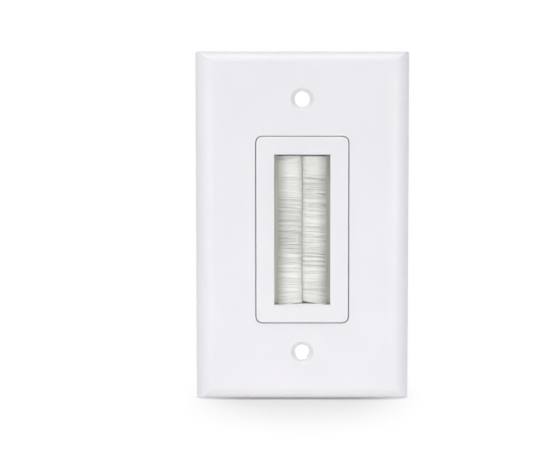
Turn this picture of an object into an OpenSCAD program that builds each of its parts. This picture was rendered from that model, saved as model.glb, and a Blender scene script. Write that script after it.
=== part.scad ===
/* [Plate] */
// Width of the plate across the wall, mm
plate_w = 69.85; // [66:0.05:76]
// Height of the plate up the wall, mm
plate_h = 114.3; // [110:0.1:124]
// How far the flat front stands off the wall, mm
plate_depth = 5.6; // [5.2:0.1:7]
// Thickness of the moulded plate wall, mm
plate_wall = 2.2; // [1.8:0.1:2.4]
// Radius of the four corners seen from the front, mm
plate_corner_r = 0.9; // [0.3:0.1:1.5]

/* [Edge slopes] */
// Width of the rounded slope down each long side, mm
side_slope_w = 6.2; // [4.5:0.1:8]
// How far the long sides fall towards the wall, mm
side_slope_drop = 3; // [1.6:0.1:3.2]
// Width of the slope along the top and bottom, mm
end_slope_w = 3.3; // [2.6:0.1:4.5]
// How far the top and bottom fall towards the wall, mm
end_slope_drop = 2.4; // [1.5:0.1:2.8]
// Angle at which the top and bottom slopes leave the flat front, degrees
end_slope_lead = 14; // [0:1:20]
// Radius where a slope turns down to the wall, mm
rim_r = 0.8; // [0.3:0.1:1]

/* [Fixing holes] */
// Distance between the two fixing holes, mm
hole_spacing = 83.3; // [82.6:0.1:97]
// Diameter of each fixing hole, mm
hole_d = 5; // [3.6:0.1:5.4]
// Diameter of the countersink at the front, mm
countersink_d = 7.6; // [7:0.1:9]
// Full angle of the countersink, degrees
countersink_angle = 82; // [80:1:100]
// Material around the countersink in the boss behind it, mm
boss_margin = 0.8; // [0.5:0.1:1.2]

/* [Stiffening ribs] */
// Thickness of the ribs behind the plate, mm
rib_t = 1; // [0.8:0.1:1.6]
// How far the ribs stop short of the wall, mm
rib_short = 1.2; // [0.6:0.1:2]
// Distance of the cross ribs from the middle of the insert, mm
rib_offset = 20; // [14:0.5:28]

/* [Insert] */
// Width of the insert, mm
insert_w = 30.2; // [27:0.1:33]
// Height of the insert, mm
insert_h = 61.1; // [50:0.1:62.8]
// How far the middle of the insert lies below the middle of the plate, mm
insert_drop = 1.1; // [0:0.1:2.4]
// How far the insert stands proud of the plate, mm
insert_proud = 0.5; // [0:0.1:0.8]
// Gap between the insert and the opening in the plate, mm
insert_gap = 0.3; // [0.15:0.05:0.5]
// Corner radius of the insert, mm
insert_corner_r = 2; // [1:0.1:3]
// Radius of the rounded front edge of the insert, mm
insert_edge_r = 0.4; // [0.2:0.1:0.8]
// Thickness of the insert's front, mm
bezel_t = 2.4; // [1.8:0.1:2.6]
// Thickness of the skirt behind the insert's front, mm
skirt_t = 1.5; // [1.2:0.1:1.7]
// Thickness of the flange that bears on the back of the plate, mm
flange_t = 1.4; // [1:0.1:1.6]
// How far the flange reaches behind the plate, mm
flange_reach = 1.4; // [1:0.1:1.8]

/* [Window] */
// Width of the insert's front on each side of the cable window, mm
window_side = 5.9; // [5.4:0.1:7]
// Height of the insert's front above and below the cable window, mm
window_end = 5.8; // [5.5:0.1:9]

/* [Snap hooks] */
// Length of each snap hook up the plate, mm
hook_len = 6; // [4:0.5:8]
// Distance of the snap hooks from the middle of the insert, mm
hook_offset = 11; // [8:0.5:14]
// How far the hook's nose reaches over the flange, mm
hook_nose = 0.8; // [0.5:0.1:1]
// Thickness of the collar wall and the hooks, mm
collar_t = 1.2; // [1:0.1:1.4]
// Height of the collar behind the plate's front, mm
collar_h = 2; // [1.6:0.1:2.6]
// Slot on each side of a hook, mm
hook_slot = 0.8; // [0.5:0.1:1.2]
// Length of the ramp on the hook behind the flange, mm
hook_ramp = 1.4; // [1:0.1:1.6]

/* [Brush] */
// Width of the fused spine that shows inside the window, mm
spine_show = 1.3; // [0.6:0.1:2]
// Width of the fused spine that is held behind the insert's front, mm
spine_grip = 2.1; // [1.6:0.1:2.3]
// Thickness of the fused spine, mm
spine_t = 3; // [2.8:0.1:3.2]
// How far each spine reaches past the window at both ends, mm
spine_past = 1; // [0.6:0.1:1.6]
// Thickness of the ribs that hold a spine on its outer side and ends, mm
channel_rib = 0.9; // [0.7:0.1:1]
// Thickness of the bundle of bristles, mm
bristle_t = 2.6; // [2:0.1:2.7]
// Distance from one tuft of bristles to the next, mm
tuft_pitch = 0.96; // [0.8:0.02:1.2]
// Gap between the tips of the two brushes, mm
slit_w = 0.3; // [0.2:0.1:1.5]
// How far the line of the tips wanders to each side, mm
tip_wander = 0.12; // [0:0.02:0.3]
// Angle by which the lowest tuft leans up, degrees
bottom_lift = 7; // [0:1:9]

/* [Clamp frame] */
// Thickness of the clamp frame behind the brushes, mm
clamp_t = 1.6; // [1.2:0.1:2.4]
// How much larger the clamp's window is on every side, mm
clamp_set_back = 0.4; // [0:0.1:0.8]
// Width of the lip along each long side of the clamp's window, mm
lip_w = 1; // [0.8:0.1:1.4]
// Height of that lip, mm
lip_h = 0.8; // [0.4:0.1:1.2]
// Diameter of the clamp screws' shanks, mm
screw_d = 1.9; // [1.6:0.1:2]
// Diameter of the clamp screws' heads, mm
screw_head_d = 3.5; // [3.2:0.1:3.6]
// Height of the clamp screws' heads, mm
screw_head_h = 1.2; // [1:0.1:1.6]
// Length of the clamp screws under the head, mm
screw_len = 4.2; // [3.4:0.1:4.6]
// Diameter of the screw posts behind the insert's front, mm
post_d = 4.2; // [3.8:0.1:4.3]
// Gap between a screw post and the spine beside it, mm
post_gap = 0.9; // [0.4:0.1:1.6]
// How far a screw post sinks into the skirt, mm
post_sink = 0.3; // [0.2:0.1:0.5]

/* [Fits] */
// Clearance where one part drops into another, mm
drop_in = 0.15; // [0.1:0.05:0.2]
// Clearance all round a clamp screw in its post, mm
screw_play = 0.05; // [0.03:0.01:0.1]
// Clearance all round a clamp screw in the clamp frame, mm
screw_pass = 0.2; // [0.1:0.05:0.3]

/* [Hidden] */
$fn = 48;
// Distances off the wall: the front is positive, what lies in the wall is negative
plate_back = plate_depth - plate_wall;
insert_front = plate_depth + insert_proud;
bezel_back = insert_front - bezel_t;
spine_back = bezel_back - spine_t;
clamp_back = spine_back - clamp_t;
flange_back = plate_back - flange_t;
bristle_mid = bezel_back - spine_t / 2;
hook_end = flange_back - drop_in - hook_ramp;
// Plan sizes, counted from the middle of the insert
opening_w = insert_w + 2 * insert_gap;
opening_h = insert_h + 2 * insert_gap;
flange_w = opening_w + 2 * flange_reach;
flange_h = opening_h + 2 * flange_reach;
well_w = flange_w + 2 * drop_in;
well_h = flange_h + 2 * drop_in;
skirt_in_w = insert_w - 2 * skirt_t;
skirt_in_h = insert_h - 2 * skirt_t;
clamp_w = skirt_in_w - 2 * drop_in;
clamp_h = skirt_in_h - 2 * drop_in;
window_w = insert_w - 2 * window_side;
window_h = insert_h - 2 * window_end;
clamp_win_w = window_w + 2 * clamp_set_back;
clamp_win_h = window_h + 2 * clamp_set_back;
post_z = skirt_in_h / 2 + post_sink - post_d / 2;
spine_in = window_w / 2 - spine_show;
spine_out = window_w / 2 + spine_grip;
spine_len = window_h + 2 * spine_past;
post_x = spine_in - post_gap - post_d / 2;
boss_r = countersink_d / 2 + boss_margin;
// Tufts of bristles
bristle_past = 0.2;
tuft_room = window_h + 2 * bristle_past;
tufts = floor(tuft_room / tuft_pitch);
tuft_w = tuft_room / tufts;
lifted_tufts = 4;
// How far a cut runs past the faces that it opens
past = 1;

plate_color = [0.93, 0.93, 0.945];
insert_color = [0.945, 0.945, 0.955];
spine_color = [0.69, 0.7, 0.64];
bristle_color = [0.86, 0.88, 0.82];
screw_color = [0.74, 0.75, 0.77];

// Gives a shape drawn as seen from the front its place between two distances off the wall
module layer(low, high)
  translate([0, -low, 0]) rotate([90, 0, 0]) linear_extrude(height = high - low) children();

// Moves to the middle of the insert
module at_insert() translate([0, 0, -insert_drop]) children();

// Draws its children on the right and mirrored on the left
module both_sides()
  for (side = [0, 1]) mirror([side, 0, 0]) children();

module rounded_rect(w, h, r) {
  square([w - 2 * r, h], center = true);
  square([w, h - 2 * r], center = true);
  for (x = [-1, 1], z = [-1, 1])
    translate([x * (w / 2 - r), z * (h / 2 - r)]) circle(r);
}

// Half of the plate's cross-section: out from the middle along x, off the wall along y.
// An arc leaves the flat front at the lead angle and falls by drop over the slope's width,
// and a smaller arc turns it down into the rim.
module slope_half(half, slope_w, drop, lead, inset, below) {
  chord = atan2(drop, slope_w);
  full_r = norm([slope_w, drop]) / (2 * sin(chord - lead));
  mid = [half - slope_w - full_r * sin(lead), plate_depth - full_r * cos(lead)];
  edge = half - inset;
  r = full_r - inset;
  turn_r = max(rim_r - inset, 0);
  turn = [edge - turn_r, mid.y + sqrt(pow(r - turn_r, 2) - pow(edge - turn_r - mid.x, 2))];
  meet = mid + (turn - mid) * r / (r - turn_r);
  intersection() {
    square([meet.x, plate_depth - inset]);
    union() {
      square([mid.x, plate_depth - inset]);
      translate(mid) circle(r, $fn = 120);
    }
  }
  square([edge, turn.y]);
  if (turn_r > 0) intersection() {
    translate(turn) circle(turn_r);
    translate([meet.x, turn.y]) square([turn_r, turn_r]);
  }
  if (below > 0) translate([0, -below]) square([edge, below]);
}

module side_section(inset, below)
  both_sides() slope_half(plate_w / 2, side_slope_w, side_slope_drop, 0, inset, below);

module end_section(inset, below)
  both_sides() slope_half(plate_h / 2, end_slope_w, end_slope_drop, end_slope_lead, inset, below);

// The outside of the plate at inset 0, or its hollow at the wall's thickness.
// The two sections cross, so their slopes meet in a mitre at each corner.
module plate_form(inset, below)
  intersection() {
    linear_extrude(height = plate_h - 2 * inset, center = true)
      mirror([0, 1, 0]) side_section(inset, below);
    rotate(a = 180, v = [1, 0, 1])
      linear_extrude(height = plate_w - 2 * inset, center = true) end_section(inset, below);
    layer(-below, plate_depth + past)
      rounded_rect(plate_w - 2 * inset, plate_h - 2 * inset, max(plate_corner_r - inset, 0.2));
  }

module at_holes()
  for (z = [-1, 1]) translate([0, 0, z * hole_spacing / 2]) children();

// What stays solid inside the plate's hollow
module plate_stiffening() {
  at_holes() layer(0, plate_depth) circle(boss_r);
  layer(rib_short, plate_depth) square([rib_t, plate_h], center = true);
  at_insert() layer(rib_short, plate_depth)
    for (z = [-1, 1]) translate([0, z * rib_offset]) square([plate_w, rib_t], center = true);
  at_insert() layer(plate_back - collar_h, plate_depth)
    rounded_rect(well_w + 2 * collar_t, well_h + 2 * collar_t, insert_corner_r + collar_t);
}

// The well that the insert's flange drops into
module insert_well() at_insert() {
  layer(-past, plate_back) rounded_rect(well_w, well_h, insert_corner_r);
  layer(plate_back - past, plate_depth + past)
    rounded_rect(opening_w, opening_h, insert_corner_r + insert_gap);
  layer(-past, plate_back) both_sides()
    for (z = [-1, 1]) translate([well_w / 2, z * hook_offset])
      square([2 * (collar_t + hook_slot), hook_len + 2 * hook_slot], center = true);
}

// Stands at the right edge of the well, its nose over the flange
module snap_hook()
  translate([well_w / 2, 0, 0])
    linear_extrude(height = hook_len, center = true)
      polygon([
        [0, -plate_back - past / 2],
        [collar_t, -plate_back - past / 2],
        [collar_t, -hook_end],
        [0, -hook_end],
        [-hook_nose, -(flange_back - drop_in) + hook_nose / 2],
        [-hook_nose, -(flange_back - drop_in)],
        [0, -(flange_back - drop_in)]
      ]);

module screw_hole() {
  over = 0.4;
  rise = tan(countersink_angle / 2);
  sink = (countersink_d - hole_d) / 2 / rise;
  translate([0, past, 0]) rotate([90, 0, 0]) cylinder(h = plate_depth + 2 * past, d = hole_d);
  translate([0, sink - plate_depth, 0]) rotate([90, 0, 0])
    cylinder(h = sink + over, r1 = hole_d / 2, r2 = countersink_d / 2 + over * rise);
}

module face_plate() color(plate_color) {
  difference() {
    plate_form(0, 0);
    difference() {
      plate_form(plate_wall, past);
      plate_stiffening();
    }
    insert_well();
    at_holes() screw_hole();
  }
  at_insert() both_sides()
    for (z = [-1, 1]) translate([0, 0, z * hook_offset]) snap_hook();
}

// One side of the insert's front seen end on, with its rounded edge
module edge_section(w) {
  translate([-w / 2, bezel_back]) square([w, bezel_t - insert_edge_r]);
  translate([-w / 2 + insert_edge_r, bezel_back]) square([w - 2 * insert_edge_r, bezel_t]);
  for (x = [-1, 1])
    translate([x * (w / 2 - insert_edge_r), insert_front - insert_edge_r]) circle(insert_edge_r);
}

// The insert's front as a slab whose front edge is rounded all the way round
module bezel() {
  r = insert_corner_r;
  linear_extrude(height = insert_h - 2 * r, center = true) mirror([0, 1, 0]) edge_section(insert_w);
  rotate(a = 180, v = [1, 0, 1])
    linear_extrude(height = insert_w - 2 * r, center = true) edge_section(insert_h);
  for (x = [-1, 1], z = [-1, 1])
    translate([x * (insert_w / 2 - r), 0, z * (insert_h / 2 - r)]) rotate([90, 0, 0])
      rotate_extrude() intersection() {
        edge_section(2 * r);
        translate([0, bezel_back]) square([r, bezel_t]);
      }
}

// Holds a spine on its outer side and at both ends
module spine_channel()
  difference() {
    translate([window_w / 2, -spine_len / 2 - drop_in - channel_rib])
      square([spine_grip + drop_in + channel_rib, spine_len + 2 * drop_in + 2 * channel_rib]);
    translate([0, -spine_len / 2 - drop_in])
      square([spine_out + drop_in, spine_len + 2 * drop_in]);
  }

module at_posts()
  for (x = [-1, 1], z = [-1, 1]) translate([x * post_x, 0, z * post_z]) children();

module insert_frame() color(insert_color) at_insert()
  difference() {
    union() {
      bezel();
      layer(clamp_back, bezel_back) difference() {
        rounded_rect(insert_w, insert_h, insert_corner_r);
        rounded_rect(skirt_in_w, skirt_in_h, insert_corner_r / 2);
      }
      layer(flange_back, plate_back) difference() {
        rounded_rect(flange_w, flange_h, insert_corner_r);
        square([skirt_in_w, skirt_in_h], center = true);
      }
      layer(spine_back + drop_in, bezel_back) both_sides() spine_channel();
      at_posts() layer(spine_back, bezel_back) circle(d = post_d);
    }
    layer(bezel_back - past, insert_front + past) square([window_w, window_h], center = true);
    at_posts() layer(clamp_back - past, bezel_back) circle(d = screw_d + 2 * screw_play);
  }

// The fused edge of a brush, with the shallow grooves that the weld leaves
module spine() {
  groove = 0.12;
  pitch = spine_show / 3;
  layer(spine_back, bezel_back)
    translate([spine_in + groove, -spine_len / 2]) square([spine_out - spine_in - groove, spine_len]);
  for (n = [0 : 2])
    translate([spine_in + n * pitch, 0, 0]) layer(spine_back + groove, bezel_back - groove)
      translate([0, -spine_len / 2]) square([pitch - groove, spine_len]);
}

module brush_spine_left() color(spine_color) at_insert() mirror([1, 0, 0]) spine();

module brush_spine_right() color(spine_color) at_insert() spine();

// Where the tips of the two brushes meet, at a height counted from the middle of the insert
function tip_line(z) = tip_wander * (sin(z * 11 + 40) + 0.5 * sin(z * 29)) / 1.5;

// Uneven ends, from 0 to 1, the same each time
function uneven(n) = (1 + sin(n * 137.5)) / 2;

// One row of tufts to the right of the tips; side is -1 where the row is drawn mirrored
module bristles(side) {
  ragged = 0.15;
  bevel = 0.22;
  root = 0.2;
  half = tuft_w / 2 + 0.02;
  face = bristle_t / 2;
  intersection() {
    layer(bristle_mid - face, bristle_mid + face)
      translate([-spine_in / 2, -tuft_room / 2]) square([1.5 * spine_in, tuft_room]);
    for (n = [0 : tufts - 1]) {
      z = (n + 0.5) * tuft_w - tuft_room / 2;
      lift = bottom_lift * max(0, 1 - n / lifted_tufts);
      tip = side * tip_line(z) + slit_w / 2 + ragged * uneven(n * 2 + side);
      low = face * (0.86 + 0.14 * uneven(n * 3 + side));
      translate([spine_in + root, -bristle_mid, z]) rotate([0, lift, 0]) rotate([0, -90, 0])
        linear_extrude(height = spine_in + root - tip)
          polygon([
            [-half, -low + bevel], [-half + bevel, -low], [half - bevel, -low], [half, -low + bevel],
            [half, low - bevel], [half - bevel, low], [-half + bevel, low], [-half, low - bevel]
          ]);
    }
  }
}

module bristles_left() color(bristle_color) at_insert() mirror([1, 0, 0]) bristles(-1);

module bristles_right() color(bristle_color) at_insert() bristles(1);

module clamp_frame() color(insert_color) at_insert()
  difference() {
    union() {
      layer(clamp_back, spine_back) rounded_rect(clamp_w, clamp_h, insert_corner_r / 2);
      layer(clamp_back - lip_h, spine_back) both_sides()
        translate([clamp_win_w / 2, -clamp_win_h / 2]) square([lip_w, clamp_win_h]);
    }
    layer(clamp_back - lip_h - past, spine_back + past)
      square([clamp_win_w, clamp_win_h], center = true);
    at_posts() layer(clamp_back - past, spine_back + past) circle(d = screw_d + 2 * screw_pass);
  }

// A screw driven from behind
module clamp_screw() {
  layer(clamp_back, clamp_back + screw_len) circle(d = screw_d);
  layer(clamp_back - screw_head_h, clamp_back) circle(d = screw_head_d);
}

module clamp_screw_at(x, z)
  color(screw_color) at_insert() translate([x * post_x, 0, z * post_z]) clamp_screw();

face_plate();
insert_frame();
brush_spine_left();
brush_spine_right();
bristles_left();
bristles_right();
clamp_frame();
clamp_screw_at(-1, 1);  // clamp_screw_1
clamp_screw_at(1, 1);  // clamp_screw_2
clamp_screw_at(-1, -1);  // clamp_screw_3
clamp_screw_at(1, -1);  // clamp_screw_4
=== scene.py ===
import math
import random

import bmesh
import bpy
import numpy as np
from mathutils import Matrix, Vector


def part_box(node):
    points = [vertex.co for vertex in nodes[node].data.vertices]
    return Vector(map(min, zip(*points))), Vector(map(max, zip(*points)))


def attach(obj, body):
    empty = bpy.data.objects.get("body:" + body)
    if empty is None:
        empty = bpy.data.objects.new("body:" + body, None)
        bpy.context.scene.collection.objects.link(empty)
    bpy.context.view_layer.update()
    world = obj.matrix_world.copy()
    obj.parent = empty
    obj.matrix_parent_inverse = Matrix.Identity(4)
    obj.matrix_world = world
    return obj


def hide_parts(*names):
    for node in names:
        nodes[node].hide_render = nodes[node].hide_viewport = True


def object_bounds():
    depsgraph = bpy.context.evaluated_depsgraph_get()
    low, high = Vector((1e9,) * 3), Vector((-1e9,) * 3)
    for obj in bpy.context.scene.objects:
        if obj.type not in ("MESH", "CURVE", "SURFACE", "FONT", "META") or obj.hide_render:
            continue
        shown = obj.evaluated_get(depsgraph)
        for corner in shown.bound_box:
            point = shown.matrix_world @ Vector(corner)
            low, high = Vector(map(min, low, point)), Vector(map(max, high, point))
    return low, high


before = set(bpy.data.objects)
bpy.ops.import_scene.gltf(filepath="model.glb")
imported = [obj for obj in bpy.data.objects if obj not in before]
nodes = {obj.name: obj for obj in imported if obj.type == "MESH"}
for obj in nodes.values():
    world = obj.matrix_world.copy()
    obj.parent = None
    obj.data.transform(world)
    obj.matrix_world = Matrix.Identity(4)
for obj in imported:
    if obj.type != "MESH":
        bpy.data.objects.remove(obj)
cad_box = [list(c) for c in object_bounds()]
MM = 0.001
scene = bpy.context.scene


# ---------------------------------------------------------------- node helpers

def new_material(name):
    mat = bpy.data.materials.new(name)
    mat.use_nodes = True
    tree = mat.node_tree
    tree.nodes.clear()
    out = tree.nodes.new("ShaderNodeOutputMaterial")
    return mat, tree, out


def add(tree, kind, **values):
    node = tree.nodes.new(kind)
    for key, value in values.items():
        if hasattr(node, key):
            setattr(node, key, value)
        else:
            node.inputs[key.replace("_", " ")].default_value = value
    return node


def link(tree, a, b):
    tree.links.new(a, b)


def object_coords(tree, stretch=(1, 1, 1)):
    coord = add(tree, "ShaderNodeTexCoord")
    mapping = add(tree, "ShaderNodeMapping")
    mapping.inputs["Scale"].default_value = stretch
    link(tree, coord.outputs["Object"], mapping.inputs["Vector"])
    return mapping.outputs["Vector"]


def noise(tree, vector, scale, detail=2.0, rough=0.5):
    node = add(tree, "ShaderNodeTexNoise")
    node.inputs["Scale"].default_value = scale
    node.inputs["Detail"].default_value = detail
    node.inputs["Roughness"].default_value = rough
    link(tree, vector, node.inputs["Vector"])
    return node.outputs["Fac"]


def ramp(tree, value, low, high, to_low, to_high):
    node = add(tree, "ShaderNodeMapRange")
    node.inputs["From Min"].default_value = low
    node.inputs["From Max"].default_value = high
    node.inputs["To Min"].default_value = to_low
    node.inputs["To Max"].default_value = to_high
    link(tree, value, node.inputs["Value"])
    return node.outputs["Result"]


def mix_colors(tree, factor, a, b):
    node = add(tree, "ShaderNodeMix")
    node.data_type = "RGBA"
    link(tree, factor, node.inputs["Factor"])
    for socket, value in ((node.inputs[6], a), (node.inputs[7], b)):
        if isinstance(value, tuple):
            socket.default_value = (*value, 1.0)
        else:
            link(tree, value, socket)
    return node.outputs[2]


def bump(tree, height, strength, distance, below=None):
    node = add(tree, "ShaderNodeBump")
    node.inputs["Strength"].default_value = strength
    node.inputs["Distance"].default_value = distance
    link(tree, height, node.inputs["Height"])
    if below is not None:
        link(tree, below, node.inputs["Normal"])
    return node.outputs["Normal"]


# ---------------------------------------------------------------- materials

def moulded_plastic(name, color, shade, rough, grain, grain_strength):
    """Injection-moulded plastic: a fine spark-eroded grain, a slow waviness and small changes of gloss."""
    mat, tree, out = new_material(name)
    coords = object_coords(tree)
    shader = add(tree, "ShaderNodeBsdfPrincipled")
    shader.inputs["IOR"].default_value = 1.5
    cloud = noise(tree, coords, 55.0, 3.0)
    link(tree, mix_colors(tree, ramp(tree, cloud, 0.3, 0.7, 0.0, 1.0), shade, color), shader.inputs["Base Color"])
    fine = noise(tree, coords, grain, 2.0, 0.6)
    patches = noise(tree, coords, 140.0, 2.0)
    link(tree, ramp(tree, patches, 0.3, 0.7, rough - 0.03, rough + 0.04), shader.inputs["Roughness"])
    flow = noise(tree, object_coords(tree, (1.0, 1.0, 0.35)), 42.0, 1.0)
    wavy = bump(tree, flow, 0.10, 0.00035)
    link(tree, bump(tree, fine, grain_strength, 0.00006, wavy), shader.inputs["Normal"])
    link(tree, shader.outputs["BSDF"], out.inputs["Surface"])
    return mat


def spine_material(name, depth):
    """Nylon filaments fused along their roots: cloudy, greenish, with lines along the weld."""
    mat, tree, out = new_material(name)
    shader = add(tree, "ShaderNodeBsdfPrincipled")
    shader.inputs["IOR"].default_value = 1.53
    lines = noise(tree, object_coords(tree, (1.0, 1.0, 0.012)), 3600.0, 2.0, 0.6)
    ends = noise(tree, object_coords(tree, (0.15, 1.0, 1.0)), 4200.0, 1.0)
    cloud = noise(tree, object_coords(tree, (1.0, 1.0, 0.4)), 900.0, 2.0)
    # depth scales the weld's colours, giving one nylon a lighter and a darker copy: painted light and shade
    base = mix_colors(tree, ramp(tree, lines, 0.3, 0.7, 0.0, 1.0), tuple(depth * v for v in (0.30, 0.31, 0.25)),
                      tuple(depth * v for v in (0.56, 0.56, 0.48)))
    cloudy = mix_colors(tree, ramp(tree, cloud, 0.35, 0.75, 0.0, 0.5), base, (0.42, 0.44, 0.40))
    # Painted shade: the weld is darker towards its two ends, in the shadow of the window's top and bottom edges
    split = add(tree, "ShaderNodeSeparateXYZ")
    link(tree, object_coords(tree), split.inputs["Vector"])
    from_middle = add(tree, "ShaderNodeMath", operation="ADD")
    from_middle.inputs[1].default_value = 0.0011
    link(tree, split.outputs["Z"], from_middle.inputs[0])
    reach = add(tree, "ShaderNodeMath", operation="ABSOLUTE")
    link(tree, from_middle.outputs[0], reach.inputs[0])
    painted_end_shade = mix_colors(tree, ramp(tree, reach.outputs[0], 0.0222, 0.0247, 0.0, 0.42), cloudy, (0.14, 0.14, 0.12))
    link(tree, mix_colors(tree, ramp(tree, reach.outputs[0], 0.02415, 0.02435, 0.0, 0.45), painted_end_shade, (0.10, 0.10, 0.09)),
         shader.inputs["Base Color"])
    link(tree, ramp(tree, cloud, 0.2, 0.8, 0.28, 0.48), shader.inputs["Roughness"])
    first = bump(tree, lines, 0.5, 0.00012)
    link(tree, bump(tree, ends, 0.25, 0.00005, first), shader.inputs["Normal"])
    link(tree, shader.outputs["BSDF"], out.inputs["Surface"])
    return mat


def filament_material():
    """Clear-white nylon filament, darker where it leaves the weld, partly painted shade. The attribute shade is a
    filament's tone, with painted light and shade in it.
    """
    mat, tree, out = new_material("nylon_filament")
    shader = add(tree, "ShaderNodeBsdfPrincipled")
    shader.inputs["IOR"].default_value = 1.53
    tone_and_painted_shade = add(tree, "ShaderNodeAttribute")
    tone_and_painted_shade.attribute_name = "shade"
    coord = add(tree, "ShaderNodeTexCoord")
    split = add(tree, "ShaderNodeSeparateXYZ")
    link(tree, coord.outputs["Object"], split.inputs["Vector"])
    out_from_slit = add(tree, "ShaderNodeMath", operation="ABSOLUTE")
    link(tree, split.outputs["X"], out_from_slit.inputs[0])
    along = add(tree, "ShaderNodeMapRange")
    along.interpolation_type = "SMOOTHSTEP"
    along.inputs["From Min"].default_value = 0.0086
    along.inputs["From Max"].default_value = 0.0040
    link(tree, out_from_slit.outputs[0], along.inputs["Value"])
    streak = noise(tree, object_coords(tree, (0.05, 1.0, 1.0)), 2600.0, 2.0, 0.6)
    lit = mix_colors(tree, tone_and_painted_shade.outputs["Fac"], (0.17, 0.175, 0.15), (0.985, 0.995, 0.945))
    # Near the weld the filaments are darker: partly their denser fused roots, partly painted shade from the window's
    # edge
    root = mix_colors(tree, tone_and_painted_shade.outputs["Fac"], (0.10, 0.105, 0.09), (0.56, 0.57, 0.53))
    base = mix_colors(tree, along.outputs["Result"], root, lit)
    link(tree, mix_colors(tree, ramp(tree, streak, 0.35, 0.75, 0.0, 0.25), base, (0.98, 0.98, 0.95)),
         shader.inputs["Base Color"])
    link(tree, ramp(tree, streak, 0.3, 0.7, 0.24, 0.40), shader.inputs["Roughness"])
    link(tree, bump(tree, streak, 0.2, 0.00002), shader.inputs["Normal"])
    link(tree, shader.outputs["BSDF"], out.inputs["Surface"])
    return mat


def steel_material():
    """Bright zinc-plated steel with turning marks and small clouded patches."""
    mat, tree, out = new_material("plated_steel")
    coords = object_coords(tree)
    shader = add(tree, "ShaderNodeBsdfPrincipled")
    shader.inputs["Metallic"].default_value = 1.0
    cloud = noise(tree, coords, 1500.0, 3.0)
    link(tree, mix_colors(tree, cloud, (0.56, 0.57, 0.58), (0.76, 0.77, 0.79)), shader.inputs["Base Color"])
    link(tree, ramp(tree, cloud, 0.3, 0.7, 0.22, 0.38), shader.inputs["Roughness"])
    marks = noise(tree, object_coords(tree, (0.2, 1.0, 1.0)), 9000.0, 1.0)
    link(tree, bump(tree, marks, 0.12, 0.00002), shader.inputs["Normal"])
    link(tree, shader.outputs["BSDF"], out.inputs["Surface"])
    return mat


plate_white = moulded_plastic("plate_plastic", (0.806, 0.794, 0.826), (0.787, 0.775, 0.808), 0.36, 3300.0, 0.16)
insert_white = moulded_plastic("insert_plastic", (0.808, 0.796, 0.828), (0.789, 0.777, 0.809), 0.33, 3600.0, 0.12)
# One nylon in two copies, the left lighter and the right darker: painted light and shade
fused_left = spine_material("fused_nylon_left", 1.08)
fused_right = spine_material("fused_nylon_right", 0.88)
nylon = filament_material()
steel = steel_material()


def dress(name, mat):
    obj = nodes[name]
    for slot in obj.material_slots:
        slot.material = mat


dress("face_plate", plate_white)
dress("insert_frame", insert_white)
dress("clamp_frame", insert_white)
dress("brush_spine_left", fused_left)
dress("brush_spine_right", fused_right)


# ---------------------------------------------------------------- brushes

def smooth_walk(rng, count, step, pull):
    walk, value = [], 0.0
    for _ in range(count):
        value = value * (1 - pull) + rng.normal(0, step)
        walk.append(value)
    return np.array(walk)


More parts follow.
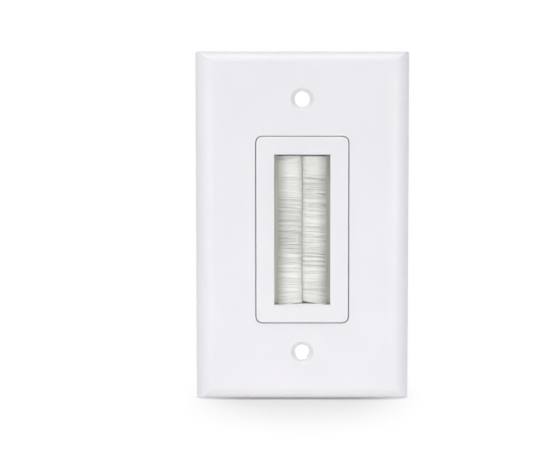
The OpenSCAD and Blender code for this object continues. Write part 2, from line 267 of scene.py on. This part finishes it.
def filament_mesh(name, node, side, seed, bands, leans, slit, end_lift):
    """One brush as separate filaments: side is 1 right of the slit and -1 left of it.

    bands, leans and slit are (height in mm, value) pairs: how light the filaments are, how far their
    tips hang in mm, and half the width of the slit in mm.
    """
    rng = np.random.default_rng(seed)
    low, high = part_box(node)
    spine_low, spine_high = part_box(node.replace("bristles", "brush_spine"))
    root_x = min(abs(spine_low.x), abs(spine_high.x)) + 0.00015
    bottom, top = low.z + 0.0001, high.z - 0.0001
    front, back = low.y, high.y
    radius = 0.000082
    count, rings, sides = 5600, 5, 4

    def along_height(pairs, z):
        heights, values = zip(*pairs)
        return np.interp(z / MM, heights, values)

    # Depth: 0 at the front face of the bundle and 1 at its back
    pick = rng.random(count)
    depth = np.where(pick < 0.46, rng.random(count) * 0.28,
                     np.where(pick < 0.68, 1 - rng.random(count) * 0.22, rng.random(count)))
    y_root = front + radius + depth * (back - front - 2 * radius)
    place = (np.arange(count) + rng.random(count)) / count
    rng.shuffle(place)
    z_root = bottom + place * (top - bottom)
    # Clumps differ from layer to layer
    layers = 9
    layer = np.minimum((depth * layers).astype(int), layers - 1)
    z_tip = np.zeros(count)
    tone_and_painted_shade = np.zeros(count)
    bow = np.zeros(count)
    out = np.zeros(count)
    for k in range(layers):
        edges = [bottom]
        while edges[-1] < top:
            edges.append(edges[-1] + min(0.0022, 0.00030 + rng.exponential(0.00040)))
        edges[-1] = top
        edges = np.array(edges)
        inside = layer == k
        index = np.clip(np.searchsorted(edges, z_root[inside]) - 1, 0, len(edges) - 2)
        n = len(edges) - 1
        centre = (edges[:-1] + edges[1:]) / 2
        squeeze = rng.uniform(0.62, 1.12, n)
        shift = smooth_walk(rng, n, 0.00012, 0.3) + rng.normal(0, 0.00015, n)
        c, s = centre[index], squeeze[index]
        z_tip[inside] = c + (z_root[inside] - c) * s + shift[index]
        tone_and_painted_shade[inside] = np.clip(rng.normal(0.0, 0.11, n), -0.32, 0.24)[index]
        width = (edges[1:] - edges[:-1])[index]
        off_centre = np.abs(z_root[inside] - c) / width * 2
        # Painted shade: filaments at the edges of a clump are darker, as dark lines between clumps
        tone_and_painted_shade[inside] -= 0.55 * np.clip(off_centre - 0.72, 0, 1) / 0.28
        bow[inside] = rng.normal(0, 0.00009, n)[index]
        out[inside] = rng.normal(0, 0.00007, n)[index]
    z_tip += rng.normal(0, 0.00010, count) + along_height(leans, z_root) * MM
    bow += rng.normal(0, 0.00004, count)
    out += rng.normal(0, 0.00004, count)
    tone_and_painted_shade += rng.normal(0, 0.16, count)
    tone_and_painted_shade -= 0.6 * (rng.random(count) < 0.045)
    # The lightest bands are also the most even
    band_and_painted_light = along_height(bands, (z_root + z_tip) / 2)
    tone_and_painted_shade = band_and_painted_light + tone_and_painted_shade * np.clip(1.55 - 0.95 * band_and_painted_light, 0.3, 1.0)
    # The front filaments stop short of the top of the window; the others there are painted dark, painted shade under
    # its top edge
    short = 0.00082
    z_root = np.where(depth < 0.45, bottom + (z_root - bottom) * (top - bottom - short) / (top - bottom), z_root)
    limit = np.where(depth < 0.45, top - short, top)
    tone_and_painted_shade -= 1.2 * ((depth >= 0.45) & (z_root > top - 0.0013))
    # At the bottom end the tips stand up a little, and only those at the back stay down
    near_end = np.clip(1 - (z_tip - bottom) / 0.0065, 0, 1)
    z_tip += near_end * end_lift * MM * (depth < 0.66)
    # Painted shade: the back filaments at the bottom end are darker, the shadow in the wedge under the raised tips
    tone_and_painted_shade -= 1.5 * ((depth >= 0.66) & (z_root < bottom + 0.0024))
    z_tip = np.minimum(np.maximum(z_tip, bottom), limit)
    # The faces of the bundle leave a slit, the filaments inside it meet
    z_mid = (z_root + z_tip) / 2
    wander = 0.00005 * (np.sin(z_mid / MM * 0.19 + 0.7) + 0.5 * np.sin(z_mid / MM * 0.5))
    inner = (depth > 0.26) & (depth < 0.80)
    tip_x = side * wander + along_height(slit, z_mid) * MM + np.abs(rng.normal(0, 0.00004, count))
    tip_x = np.where(inner, side * wander + rng.normal(-0.00005, 0.00010, count), tip_x)
    stray = rng.random(count) < 0.03
    tip_x += np.where(stray, rng.uniform(0.0002, 0.0016, count), 0)

    t = np.linspace(0, 1, rings)[None, :]
    x = root_x + (tip_x - root_x)[:, None] * t
    z = z_root[:, None] + (z_tip - z_root)[:, None] * t ** 1.2 + bow[:, None] * np.sin(math.pi * t)
    y = y_root[:, None] + out[:, None] * t ** 1.5
    y = np.clip(y, front + radius, back - radius)
    z = np.clip(z, bottom + radius, top - radius)
    thick = radius * (1 + rng.normal(0, 0.12, count))[:, None] * (1 - 0.2 * t ** 6)
    angle = np.arange(sides) * 2 * math.pi / sides + math.pi / 4
    px = np.repeat((side * x)[:, :, None], sides, 2)
    py = y[:, :, None] + thick[:, :, None] * np.cos(angle)[None, None, :]
    pz = z[:, :, None] + thick[:, :, None] * np.sin(angle)[None, None, :]
    verts = np.stack([px, py, pz], -1).reshape(-1, 3)
    start = np.arange(count)[:, None, None] * rings * sides
    ring = np.arange(rings - 1)[None, :, None] * sides
    here = np.arange(sides)[None, None, :]
    after = (here + 1) % sides
    quads = np.stack([start + ring + here, start + ring + after,
                      start + ring + sides + after, start + ring + sides + here], -1).reshape(-1, 4)
    tips = (np.arange(count)[:, None] * rings * sides + (rings - 1) * sides + np.arange(sides)[None, :])
    faces = np.concatenate([quads, tips])
    if side > 0:
        faces = faces[:, ::-1]
    mesh = bpy.data.meshes.new(name)
    mesh.vertices.add(len(verts))
    mesh.vertices.foreach_set("co", verts.ravel())
    mesh.loops.add(faces.size)
    mesh.loops.foreach_set("vertex_index", faces.ravel())
    mesh.polygons.add(len(faces))
    mesh.polygons.foreach_set("loop_start", np.arange(len(faces)) * 4)
    mesh.polygons.foreach_set("use_smooth", np.ones(len(faces), bool))
    mesh.update(calc_edges=True)
    own = mesh.attributes.new("shade", "FLOAT", "POINT")
    # Painted light: each filament is lighter over its last stretch towards the slit
    scale = 0.415 + 0.535 * tone_and_painted_shade[:, None] + 0.10 * t ** 4
    own.data.foreach_set("value", np.repeat(np.clip(scale, 0, 1).ravel(), sides))
    mesh.validate()
    obj = bpy.data.objects.new(name, mesh)
    scene.collection.objects.link(obj)
    mesh.materials.append(nylon)
    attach(obj, "root")
    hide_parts(node)
    return obj


# Lighter and darker bands along the brushes: partly lots of filament, partly painted light and shade, for clumps
# tilted under the lamps and for the top lit against the window's shadow
slit_half = [(-26, 0.08), (-20, 0.05), (-8, 0.03), (4, 0.04), (14, 0.09), (24, 0.12)]
left_bands = [(-26, 0.88), (-17, 0.86), (-11, 0.84), (-7.8, 0.62), (-2, 0.58), (2, 0.54), (8, 0.76), (14, 1.02), (21, 1.25),
              (23, 0.90)]
right_bands = [(-26, 0.90), (-20, 0.80), (-16, 0.98), (-12, 0.74), (-6, 0.76), (2, 0.92), (6, 0.78), (12, 0.76), (16, 0.92),
               (19, 1.2), (22, 1.3), (23.2, 1.0)]
left_leans = [(-26, 0.0), (-20, -0.35), (-5, -0.6), (12, -0.7), (20, -0.3), (24, 0.0)]
right_leans = [(-26, 0.1), (-15, -0.15), (0, 0.05), (12, -0.1), (24, 0.0)]
filament_mesh("filaments_left", "bristles_left", -1, 11, left_bands, left_leans, slit_half, 0.9)
filament_mesh("filaments_right", "bristles_right", 1, 23, right_bands, right_leans, slit_half, 1.35)


# ---------------------------------------------------------------- clamp screws

def screw_mesh(name, node, turn):
    """A pan-head screw with a cross recess and a rolled thread, its head at the back."""
    low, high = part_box(node)
    cx, cz = (low.x + high.x) / 2, (low.z + high.z) / 2
    head_r = (high.x - low.x) / 2
    top_y, tip_y = high.y, low.y
    head_h = 0.0012
    seat_y = top_y - head_h
    around = 48
    bm = bmesh.new()
    # Head profile from the rim's underside up over the crown
    profile = [(head_r * 0.96, seat_y), (head_r, seat_y + 0.00008), (head_r, seat_y + 0.00050)]
    for k in range(1, 9):
        a = k / 8 * math.pi / 2
        profile.append((head_r - 0.00062 * (1 - math.cos(a)) - 0.0001 * k / 8,
                        seat_y + 0.00050 + (head_h - 0.00050) * math.sin(a) * 0.97))
    profile.append((head_r * 0.35, top_y))
    rings = []
    for r, y in profile:
        rings.append([bm.verts.new((cx + r * math.cos(2 * math.pi * j / around), y,
                                    cz + r * math.sin(2 * math.pi * j / around))) for j in range(around)])
    for a, b in zip(rings, rings[1:]):
        for j in range(around):
            bm.faces.new((a[j], a[(j + 1) % around], b[(j + 1) % around], b[j]))
    bm.faces.new(rings[0])
    bm.faces.new(list(reversed(rings[-1])))
    bmesh.ops.recalc_face_normals(bm, faces=bm.faces)
    mesh = bpy.data.meshes.new(name)
    bm.to_mesh(mesh)
    bm.free()
    obj = bpy.data.objects.new(name, mesh)
    scene.collection.objects.link(obj)
    # Cross recess with leaning walls
    cut = bmesh.new()
    arm, half, deep = head_r * 0.60, head_r * 0.15, 0.00078
    for swap in (0, 1):
        corners = []
        for y, k in ((top_y + 0.0003, 1.18), (top_y - deep, 0.62)):
            for sx, sz in ((-1, -1), (1, -1), (1, 1), (-1, 1)):
                a, b = sx * arm * k, sz * half * (0.55 + 0.45 * k)
                if swap:
                    a, b = b, a
                corners.append(cut.verts.new((cx + a * math.cos(turn) - b * math.sin(turn), y,
                                              cz + a * math.sin(turn) + b * math.cos(turn))))
        cut.faces.new(corners[:4])
        cut.faces.new(corners[4:])
        for j in range(4):
            cut.faces.new((corners[j], corners[(j + 1) % 4], corners[4 + (j + 1) % 4], corners[4 + j]))
    bmesh.ops.recalc_face_normals(cut, faces=cut.faces)
    cut_mesh = bpy.data.meshes.new(name + "_cut")
    cut.to_mesh(cut_mesh)
    cut.free()
    cutter = bpy.data.objects.new(name + "_cut", cut_mesh)
    scene.collection.objects.link(cutter)
    carve = obj.modifiers.new("recess", "BOOLEAN")
    carve.operation = "DIFFERENCE"
    carve.solver = "EXACT"
    carve.use_self = True
    carve.object = cutter
    bpy.context.view_layer.update()
    done = bpy.data.meshes.new_from_object(obj.evaluated_get(bpy.context.evaluated_depsgraph_get()))
    obj.modifiers.clear()
    obj.data = done
    bpy.data.objects.remove(cutter)
    # Threaded shank
    shank = bmesh.new()
    shank.from_mesh(done)
    core, crest, pitch = 0.00070, 0.00094, 0.00045
    length = seat_y - tip_y
    steps = 24
    turns = length / pitch
    total = int(turns * steps)
    rows = []
    for k in range(total + 1):
        a = 2 * math.pi * k / steps
        y = seat_y - length * k / total
        fade = min(1.0, (seat_y - y) / 0.0005, (y - tip_y) / 0.0006 + 0.12)
        row = []
        for part, r in ((0.0, core), (0.35, core), (0.5, core + (crest - core) * fade), (0.65, core)):
            yy = max(y - pitch * part, tip_y)
            row.append(shank.verts.new((cx + r * math.cos(a), yy, cz + r * math.sin(a))))
        rows.append(row)
    for a, b in zip(rows, rows[1:]):
        for j in range(3):
            shank.faces.new((a[j], a[j + 1], b[j + 1], b[j]))
    end = [shank.verts.new((cx + core * math.cos(2 * math.pi * j / steps), tip_y,
                            cz + core * math.sin(2 * math.pi * j / steps))) for j in range(steps)]
    shank.faces.new(end)
    bmesh.ops.recalc_face_normals(shank, faces=shank.faces)
    shank.to_mesh(done)
    shank.free()
    done.materials.clear()
    done.materials.append(steel)
    for poly in done.polygons:
        poly.use_smooth = True
        poly.material_index = 0
    sharp = done.attributes.get("sharp_edge") or done.attributes.new("sharp_edge", "BOOLEAN", "EDGE")
    probe = bmesh.new()
    probe.from_mesh(done)
    flags = [e.calc_face_angle(0) > math.radians(34) for e in probe.edges]
    probe.free()
    sharp.data.foreach_set("value", flags)
    obj.name = name
    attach(obj, "root")
    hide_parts(node)


for number, turn in ((1, 0.3), (2, 1.1), (3, 0.75), (4, 0.05)):
    screw_mesh(f"pan_screw_{number}", f"clamp_screw_{number}", turn)


# ---------------------------------------------------------------- floor, world, lights, camera

ground = cad_box[0][2] - 0.00003
mesh = bpy.data.meshes.new("floor")
reach = 4.0
mesh.from_pydata([(-reach, -reach, ground), (reach, -reach, ground), (reach, reach, ground), (-reach, reach, ground)],
                 [], [(0, 1, 2, 3)])
floor = bpy.data.objects.new("floor", mesh)
scene.collection.objects.link(floor)
mat, tree, out = new_material("studio_floor")
paths = add(tree, "ShaderNodeLightPath")
first = add(tree, "ShaderNodeMath", operation="MAXIMUM")
both = add(tree, "ShaderNodeMath", operation="MAXIMUM")
link(tree, paths.outputs["Is Camera Ray"], first.inputs[0])
link(tree, paths.outputs["Is Glossy Ray"], first.inputs[1])
link(tree, first.outputs[0], both.inputs[0])
link(tree, paths.outputs["Is Transmission Ray"], both.inputs[1])
bounce = add(tree, "ShaderNodeBsdfDiffuse", Color=(0.96, 0.96, 0.96, 1))
seen = add(tree, "ShaderNodeBsdfDiffuse", Color=(0.25, 0.25, 0.25, 1))
# Painted shadow: ambient occlusion near the plate darkens the floor's white glow into a soft shade and a dark contact
# line; the diffuse part beside it keeps real light and shadow
painted_shade_wide = add(tree, "ShaderNodeAmbientOcclusion", samples=16)
painted_shade_wide.inputs["Distance"].default_value = 0.062
painted_shade_close = add(tree, "ShaderNodeAmbientOcclusion", samples=16)
painted_shade_close.inputs["Distance"].default_value = 0.004
glow = add(tree, "ShaderNodeEmission", Color=(1, 1, 1, 1))
darker = add(tree, "ShaderNodeMath", operation="MULTIPLY")
link(tree, ramp(tree, painted_shade_wide.outputs["AO"], 0.5, 1.0, 0.50, 0.79), darker.inputs[0])
link(tree, ramp(tree, painted_shade_close.outputs["AO"], 0.5, 0.8, 0.35, 1.0), darker.inputs[1])
link(tree, darker.outputs[0], glow.inputs["Strength"])
near = add(tree, "ShaderNodeAddShader")
link(tree, seen.outputs[0], near.inputs[0])
link(tree, glow.outputs[0], near.inputs[1])
white = add(tree, "ShaderNodeEmission", Color=(1, 1, 1, 1), Strength=1.0)
distance = add(tree, "ShaderNodeVectorMath", operation="LENGTH")
link(tree, object_coords(tree, (2.2, 1.0, 1.0)), distance.inputs[0])
far = add(tree, "ShaderNodeMapRange")
far.interpolation_type = "SMOOTHSTEP"
far.inputs["From Min"].default_value = 0.064
far.inputs["From Max"].default_value = 0.110
link(tree, distance.outputs["Value"], far.inputs["Value"])
shown = add(tree, "ShaderNodeMixShader")
link(tree, far.outputs["Result"], shown.inputs[0])
link(tree, near.outputs[0], shown.inputs[1])
link(tree, white.outputs[0], shown.inputs[2])
final = add(tree, "ShaderNodeMixShader")
link(tree, both.outputs[0], final.inputs[0])
link(tree, bounce.outputs[0], final.inputs[1])
link(tree, shown.outputs[0], final.inputs[2])
link(tree, final.outputs[0], out.inputs["Surface"])
mesh.materials.append(mat)

AMBIENT = 0.075
world = bpy.data.worlds.new("studio")
scene.world = world
world.use_nodes = True
tree = world.node_tree
tree.nodes.clear()
out = tree.nodes.new("ShaderNodeOutputWorld")
paths = add(tree, "ShaderNodeLightPath")
first = add(tree, "ShaderNodeMath", operation="MAXIMUM")
both = add(tree, "ShaderNodeMath", operation="MAXIMUM")
link(tree, paths.outputs["Is Camera Ray"], first.inputs[0])
link(tree, paths.outputs["Is Glossy Ray"], first.inputs[1])
link(tree, first.outputs[0], both.inputs[0])
link(tree, paths.outputs["Is Transmission Ray"], both.inputs[1])
lit = add(tree, "ShaderNodeBackground", Color=(0.97, 0.98, 1.0, 1), Strength=AMBIENT)
white = add(tree, "ShaderNodeBackground", Color=(1, 1, 1, 1), Strength=1.0)
mixed = add(tree, "ShaderNodeMixShader")
link(tree, both.outputs[0], mixed.inputs[0])
link(tree, lit.outputs[0], mixed.inputs[1])
link(tree, white.outputs[0], mixed.inputs[2])
link(tree, mixed.outputs[0], out.inputs["Surface"])

# Name, place, width, height, watts
LIGHTS = [
    ("top", (-0.08, -0.42, 0.87), 0.90, 0.50, 2.6),
    ("overhead", (0.0, -0.18, 0.95), 0.90, 0.24, 2.9),
    ("top_left", (-0.40, -0.55, 0.70), 0.50, 0.40, 0.70),
    ("low_left", (-0.40, -0.60, 0.00), 0.45, 0.08, 0.96),
    ("low_right", (0.40, -0.60, 0.00), 0.45, 0.08, 1.12),
    ("far_left", (-0.90, -0.28, 0.10), 0.30, 0.80, 1.20),
    ("far_right", (0.90, -0.28, 0.10), 0.30, 0.80, 0.90),
    ("near_low", (0.0, -0.30, -0.045), 0.40, 0.02, 0.046),
    ("foot", (0.0, -0.09, -0.050), 0.20, 0.010, 0.007),
    ("behind", (0.0, 0.85, 0.24), 0.90, 0.30, 4.0),
]
for name, place, wide, tall, watts in LIGHTS:
    data = bpy.data.lights.new(name, "AREA")
    data.shape = "RECTANGLE"
    data.size, data.size_y = wide, tall
    data.energy = watts
    lamp = bpy.data.objects.new(name, data)
    lamp.location = place
    lamp.rotation_mode = "QUATERNION"
    lamp.rotation_quaternion = (-Vector(place)).to_track_quat("-Z", "Y")
    lamp.visible_camera = False
    scene.collection.objects.link(lamp)

camera_data = bpy.data.cameras.new("camera")
camera_data.lens = 119.2
camera_data.sensor_width = 36
camera_data.shift_x = -0.03265
camera_data.shift_y = 0.00045
camera_data.clip_start = 0.01
camera_data.clip_end = 50
camera = bpy.data.objects.new("camera", camera_data)
camera.location = (-0.002, -0.600, 0.050)
camera.rotation_euler = (math.radians(85.11), 0, math.radians(0.1))
scene.collection.objects.link(camera)
scene.camera = camera
scene.view_settings.view_transform = "Standard"
